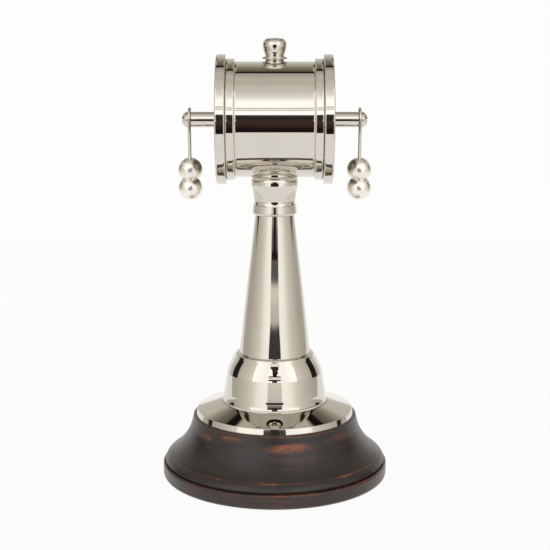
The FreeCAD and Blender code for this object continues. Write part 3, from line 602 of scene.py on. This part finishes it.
def needle_material():
    """Blued steel with its north half lacquered red; north points along +Y at rest."""
    material, t = new_material("blued_and_red_needle")
    place = t.place()
    grain = t.noise(t.stretched(place, (1.0, 0.15, 1.0)), 1400.0, 3.0)
    north = t.step(t.parts(place)[1], *LACQUER_STARTS)
    blue = t.mix(grain, (0.035, 0.055, 0.16), (0.06, 0.09, 0.24))
    red = t.mix(grain, (0.42, 0.022, 0.016), (0.32, 0.014, 0.012))
    t.principled(Base_Color=t.mix(north, blue, red), Metallic=t.minus(1.0, north),
                 Roughness=t.scaled(grain, 0.15, 0.22), Normal=t.bump(grain, 0.01 * MM))
    return material


def felt_material():
    material, t = new_material("green_baize")
    fibre = t.noise(t.place(), 2600.0, 5.0, 0.75, 1.2)
    cloud = t.noise(t.place(), 60.0, 4.0)
    colour = t.mix(fibre, (0.008, 0.030, 0.014), (0.030, 0.085, 0.040))
    colour = t.mix(t.times(cloud, 0.4), colour, (0.02, 0.045, 0.025))
    t.principled(Base_Color=colour, Roughness=0.95, Normal=t.bump(fibre, 0.2 * MM), Sheen_Weight=0.4,
                 Sheen_Roughness=0.6)
    return material


# ---- felt ----
FELT_RINGS, FELT_AROUND = 40, 96
FELT_RIPPLE, FELT_WAVES, FELT_TWIST = 0.03 * MM, 9.0, 0.7


def felt_disc(name, radius, low, high):
    """A thin closed disc between two heights, its faces finely divided and its top very slightly uneven."""
    rows = [(radius * (i + 1) / FELT_RINGS, high) for i in range(FELT_RINGS)]
    rows += [(radius * (FELT_RINGS - i) / FELT_RINGS, low) for i in range(FELT_RINGS)]
    vertices = [(0.0, 0.0, high)]
    for index, (r, z) in enumerate(rows):
        inner = z == high and index < FELT_RINGS - 1
        for k in range(FELT_AROUND):
            angle = 2.0 * math.pi * k / FELT_AROUND
            drop = abs(FELT_RIPPLE * math.sin(FELT_WAVES * angle + FELT_TWIST * index)) if inner else 0.0
            vertices.append((r * math.cos(angle), r * math.sin(angle), z - drop))
    vertices.append((0.0, 0.0, low))
    last = len(vertices) - 1
    turns = [(k, (k + 1) % FELT_AROUND) for k in range(FELT_AROUND)]
    faces = [(0, 1 + k, 1 + after) for k, after in turns]
    for row in range(len(rows) - 1):
        here, there = 1 + row * FELT_AROUND, 1 + (row + 1) * FELT_AROUND
        faces += [(here + k, there + k, there + after, here + after) for k, after in turns]
    here = 1 + (len(rows) - 1) * FELT_AROUND
    faces += [(last, here + after, here + k) for k, after in turns]
    return mesh_object(name, vertices, faces, smooth=True)


def make_felt():
    low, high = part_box("felt_pad")
    felt = felt_disc("felt_sheet", (high.x - low.x) / 2.0, low.z, high.z)
    felt.data.materials.append(felt_material())
    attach(felt, "stand")
    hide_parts("felt_pad")


# ---- dial print: radii and sizes in millimetres, angles in degrees clockwise from north ----
INK_THICKNESS = 0.05
SCALE_CIRCLES = ((39.2, 39.6), (34.9, 35.1), (28.3, 28.5))
TICK_OUTER = 39.2
TICK_STEP, SHORT_TICK_INNER, SHORT_TICK_WIDTH = 2, 37.6, 0.22
LONG_TICK_STEP, LONG_TICK_INNER, LONG_TICK_WIDTH = 10, 35.1, 0.5
# each set of points of the rose: length, half the angle at its root, the root's radius, its rise in
# the middle, and the angles of its first point and between its points
ROSE_THICKNESS = 0.12
ROSE = ((13.5, 11.0, 8.6, 0.2, 22.5, 45.0), (19.5, 22.0, 8.9, 0.26, 45.0, 90.0),
        (26.5, 30.0, 9.4, 0.3, 0.0, 90.0))
NORTH_MARK = ((0.0, 34.3), (2.2, 29.4), (-2.2, 29.4))
NORTH_THICKNESS = 0.14
NUMBER_STEP, NUMBER_RADIUS, NUMBER_SIZE, NUMBER_HALF_THICKNESS = 30, 31.7, 4.3, 0.03


def dial_frame(side):
    """From the dial's own plane, x to the reader's right, y up and z towards the reader, to the part."""
    low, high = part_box("dial_" + side)
    sign = 1.0 if side == RIGHT else -1.0
    face = high.x if side == RIGHT else low.x
    return Matrix(((0.0, 0.0, sign, face), (sign, 0.0, 0.0, 0.0), (0.0, 1.0, 0.0, DRUM_AXIS_Z),
                   (0.0, 0.0, 0.0, 1.0)))


def compass_point(degrees, radius):
    angle = math.radians(degrees)
    return radius * math.sin(angle), radius * math.cos(angle)


class Print:
    """Thin closed slabs of ink on the dial, gathered into one mesh."""

    def __init__(self, thickness):
        self.vertices, self.faces, self.thickness = [], [], thickness

    def slab(self, outline):
        count, start = len(outline), len(self.vertices)
        self.vertices += [(x, y, 0.0) for x, y in outline]
        self.vertices += [(x, y, self.thickness) for x, y in outline]
        self.faces.append(tuple(start + count + i for i in range(count)))
        self.faces.append(tuple(start + i for i in reversed(range(count))))
        for i in range(count):
            j = (i + 1) % count
            self.faces.append((start + i, start + j, start + count + j, start + count + i))

    def tick(self, degrees, inner, outer, width):
        side = compass_point(degrees + 90.0, width / 2.0)
        a, b = compass_point(degrees, inner), compass_point(degrees, outer)
        self.slab([(a[0] + side[0], a[1] + side[1]), (a[0] - side[0], a[1] - side[1]),
                   (b[0] - side[0], b[1] - side[1]), (b[0] + side[0], b[1] + side[1])])

    def circle(self, inner, outer, parts=120):
        step = 360.0 / parts
        for i in range(parts):
            self.slab([compass_point(i * step, inner), compass_point(i * step + step, inner),
                       compass_point(i * step + step, outer), compass_point(i * step, outer)])

    def ridge(self, degrees, length, half_width, root, rise, side):
        """Half of a compass point: from its root to its tip, with a raised middle line."""
        tip, foot = compass_point(degrees, length), compass_point(degrees, 0.0)
        shoulder = compass_point(degrees + side * half_width, root)
        start = len(self.vertices)
        self.vertices += [(*foot, 0.0), (*tip, 0.0), (*shoulder, 0.0), (*foot, rise)]
        self.vertices += [(*tip, self.thickness), (*shoulder, self.thickness)]
        for face in ((0, 2, 1), (3, 4, 5), (0, 1, 4, 3), (1, 2, 5, 4), (2, 0, 3, 5)):
            turned = face if side > 0 else tuple(reversed(face))
            self.faces.append(tuple(start + i for i in turned))

    def piece(self, name, side, material):
        made = mesh_object(name + "_" + side, [tuple(c * MM for c in v) for v in self.vertices], self.faces)
        made.data.transform(dial_frame(side))
        made.data.materials.append(material)
        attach(made, "stand")


def make_dial_scale(side, black):
    scale = Print(INK_THICKNESS)
    for inner, outer in SCALE_CIRCLES:
        scale.circle(inner, outer)
    for degrees in range(0, 360, TICK_STEP):
        long = degrees % LONG_TICK_STEP == 0
        inner = LONG_TICK_INNER if long else SHORT_TICK_INNER
        scale.tick(degrees, inner, TICK_OUTER, LONG_TICK_WIDTH if long else SHORT_TICK_WIDTH)
    scale.piece("dial_scale", side, black)


def make_dial_rose(side, black, gilt):
    dark, light = Print(ROSE_THICKNESS), Print(ROSE_THICKNESS)
    for length, half_width, root, rise, first, spacing in ROSE:
        for index in range(round(360.0 / spacing)):
            degrees = first + spacing * index
            dark.ridge(degrees, length, half_width, root, rise, 1)
            light.ridge(degrees, length, half_width, root, rise, -1)
    dark.piece("dial_rose_dark", side, black)
    light.piece("dial_rose_gilt", side, gilt)


def make_north_mark(side, red):
    north = Print(NORTH_THICKNESS)
    north.slab(NORTH_MARK)
    north.piece("dial_north_mark", side, red)


def make_dial_number(side, degrees, black):
    text = bpy.data.curves.new("number", "FONT")
    text.body = str(degrees)
    text.size = NUMBER_SIZE * MM
    text.extrude = NUMBER_HALF_THICKNESS * MM
    text.align_x = "CENTER"
    text.align_y = "CENTER"
    holder = bpy.data.objects.new("number", text)
    bpy.context.scene.collection.objects.link(holder)
    bpy.context.view_layer.update()
    mesh = bpy.data.meshes.new_from_object(holder.evaluated_get(bpy.context.evaluated_depsgraph_get()))
    bpy.data.objects.remove(holder)
    x, y = compass_point(degrees, NUMBER_RADIUS)
    turn = Matrix.Rotation(-math.radians(degrees), 4, "Z")
    shift = Matrix.Translation((x * MM, y * MM, NUMBER_HALF_THICKNESS * MM))
    mesh.transform(dial_frame(side) @ shift @ turn)
    number = bpy.data.objects.new("dial_number_%03d_%s" % (degrees, side), mesh)
    bpy.context.scene.collection.objects.link(number)
    mesh.materials.clear()
    mesh.materials.append(black)
    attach(number, "stand")


# ---- building ----
make_camera()
make_world()
make_table()
make_backdrop()
make_cards()

black_ink = ink_material("black_ink", (0.010, 0.010, 0.011), (0.025, 0.024, 0.024))
red_ink = ink_material("red_enamel", (0.40, 0.02, 0.015), (0.30, 0.014, 0.012))
gilt_ink = gilt_material()
FINISHES = {
    "nickel": nickel_material("nickel_turned_upright"),
    "wood": wood_material("worn_black_wood", 0.0),
    "felt": felt_material(),
    "steel": steel_material("bright_steel", (0.56, 0.55, 0.53), (0.40, 0.39, 0.37), 0.22),
    "screw_steel": steel_material("screw_steel", (0.74, 0.70, 0.60), (0.56, 0.51, 0.42), 0.02, 1.6),
    "brass": brass_material(),
    "rubber": rubber_material(),
    "glass": glass_material(),
    "dial": ivory_material(),
    "needle": needle_material(),
    "pointer": ink_material("black_lacquer", (0.012, 0.012, 0.013), (0.02, 0.019, 0.018)),
}
# Pieces whose finish differs a little from the usual one of their slot, by slot and by the start of
# their names.
flange_nickel = nickel_material("nickel_flange", corners=FLANGE_SHADE_AND_TARNISH_REACH)
drum_nickel = nickel_material("nickel_turned_along_drum", along="X")
grip_nickel_painted_lighter = nickel_material("nickel_grips", light=GRIP_NICKEL_PAINTED_LIGHTER, roughness=GRIP_ROUGHNESS)
OWN_FINISHES = {
    "nickel": ((("drum", "end_ring", "bezel", "lever_shaft", "lever_screw"), drum_nickel),
               ("lever_grip", grip_nickel_painted_lighter), ("base_flange", flange_nickel)),
    "wood": (("base_disc", wood_material("worn_black_wood_plate", PLATE_WORN)),),
}


def finish_of(piece, slot):
    for starts, own in OWN_FINISHES.get(slot, ()):
        if piece.startswith(starts):
            return own
    return FINISHES[slot]


for name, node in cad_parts.items():
    for entry in node.material_slots:
        entry.material = finish_of(name, entry.material.name.split(".")[0])

make_felt()
for end in (RIGHT, LEFT):
    make_dial_scale(end, black_ink)
    make_dial_rose(end, black_ink, gilt_ink)
    make_north_mark(end, red_ink)
    for degrees in range(NUMBER_STEP, 360, NUMBER_STEP):
        make_dial_number(end, degrees, black_ink)

bpy.context.scene.view_settings.view_transform = "Standard"
